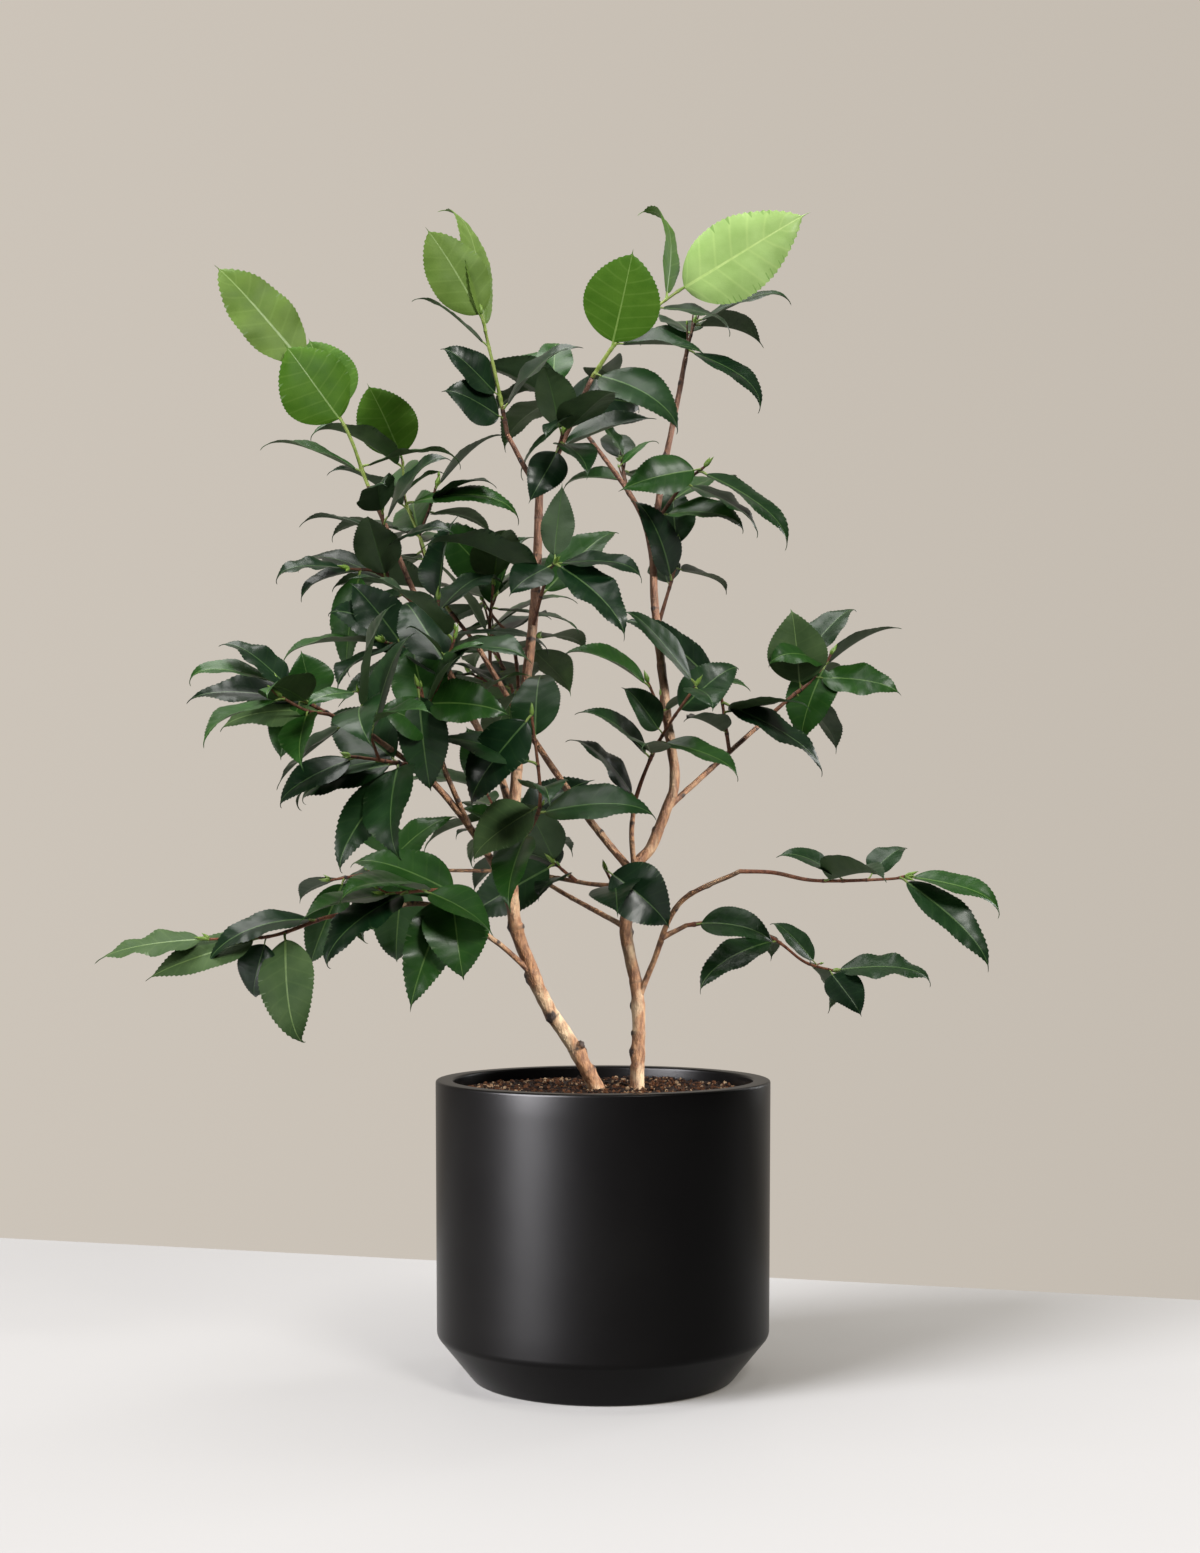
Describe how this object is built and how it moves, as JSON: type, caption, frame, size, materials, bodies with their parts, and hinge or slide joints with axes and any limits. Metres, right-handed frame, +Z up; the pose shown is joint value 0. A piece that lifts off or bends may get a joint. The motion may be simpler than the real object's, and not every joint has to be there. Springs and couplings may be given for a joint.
{
  "type": "potted camellia shrub",
  "caption": "Camellia shrub with two slender stems, open spreading boughs, glossy pointed leaves and bright young leaves, in a round black pot with a slanting foot.",
  "frame": {"origin": "centre of the pot's flat underside", "axes": "+Z up, +X to the shrub's right seen from the front, -Y its front"},
  "size_m": [0.6519, 0.4349, 0.8913],
  "materials": {
    "bark": "rough bark",
    "foliage": "glossy leaf",
    "young_foliage": "satin leaf",
    "pot": "satin black",
    "soil": "loose potting compost"
  },
  "bodies": {
    "root": {"left_stem": "bark", "right_stem": "bark", "bough_centre_left": "bark", "bough_centre_right": "bark", "bough_crossing": "bark", "bough_high_left": "bark", "bough_low_back": "bark", "bough_low_crossing": "bark", "bough_low_left": "bark", "bough_low_right": "bark", "bough_lowest_right": "bark", "bough_mid_left": "bark", "bough_mid_right": "bark", "bough_middle": "bark", "bough_upper_middle": "bark", "bough_upright_left": "bark", "foliage_centre_front": "foliage", "foliage_centre_left_tip": "young_foliage", "foliage_centre_right_side": "foliage", "foliage_centre_right_tip": "young_foliage", "foliage_crossing_back": "foliage", "foliage_crossing_side": "foliage", "foliage_crossing_tip": "young_foliage", "foliage_front_leaf": "foliage", "foliage_high_left_low": "foliage", "foliage_high_left_side": "foliage", "foliage_high_left_tip": "young_foliage", "foliage_left_stem_back": "foliage", "foliage_left_stem_front": "foliage", "foliage_low_back_tip": "foliage", "foliage_low_crossing_inner": "foliage", "foliage_low_crossing_tip": "foliage", "foliage_low_left_inner": "foliage", "foliage_low_left_tip": "foliage", "foliage_low_right_tip": "foliage", "foliage_lowest_right_tip": "foliage", "foliage_mid_left_inner": "foliage", "foliage_mid_left_tip": "foliage", "foliage_mid_right_inner": "foliage", "foliage_mid_right_tip": "foliage", "foliage_middle_tip": "foliage", "foliage_right_lead_mid": "foliage", "foliage_right_lead_side": "foliage", "foliage_right_lead_tip": "foliage", "foliage_right_stem_leaf": "foliage", "foliage_upper_middle_side": "foliage", "foliage_upper_middle_tip": "foliage", "foliage_upright_left_tip": "foliage", "pot": "pot", "soil": "soil"}
  },
  "joints": []
}
